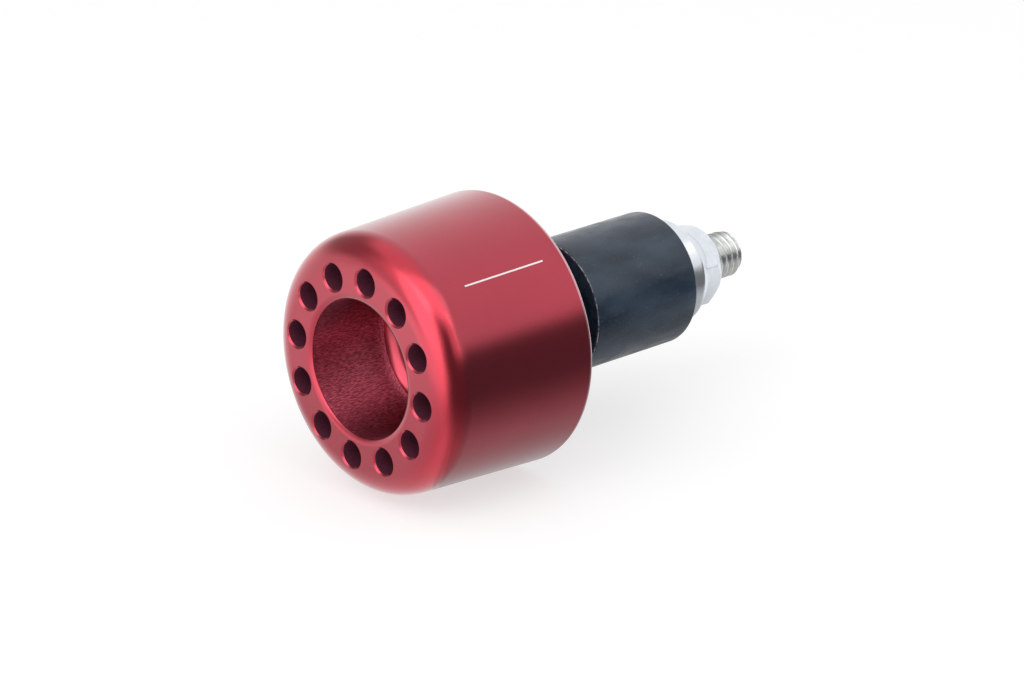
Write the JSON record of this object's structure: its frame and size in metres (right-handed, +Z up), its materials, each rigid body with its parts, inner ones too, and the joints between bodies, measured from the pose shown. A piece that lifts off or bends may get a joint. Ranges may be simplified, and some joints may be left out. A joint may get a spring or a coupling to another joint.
{
  "type": "handlebar end cap",
  "caption": "Flared round weight for the end of a handlebar, with small holes ringed round an open bore and a rubber clamp on a long screw behind it.",
  "frame": {"origin": "on the common axis, at the front end of the rubber sleeve, which is where the open end of the bar comes", "axes": "+X along the axis into the bar, from the weight towards the screw's tip; +Z up; the part has no fixed turn about +X"},
  "size_m": [0.0637, 0.0346, 0.0346],
  "materials": {
    "red_anodised": "red anodised over a fine blasted surface",
    "zinc_plate": "zinc plated steel",
    "black_anodised": "black anodised, turned",
    "sleeve_rubber": "dull charcoal rubber with a dusty bloom"
  },
  "bodies": {
    "root": {"weight": "red_anodised", "cap_screw": "zinc_plate", "spacer": "black_anodised", "rubber_sleeve": "sleeve_rubber", "cone_nut": "zinc_plate"}
  },
  "joints": []
}
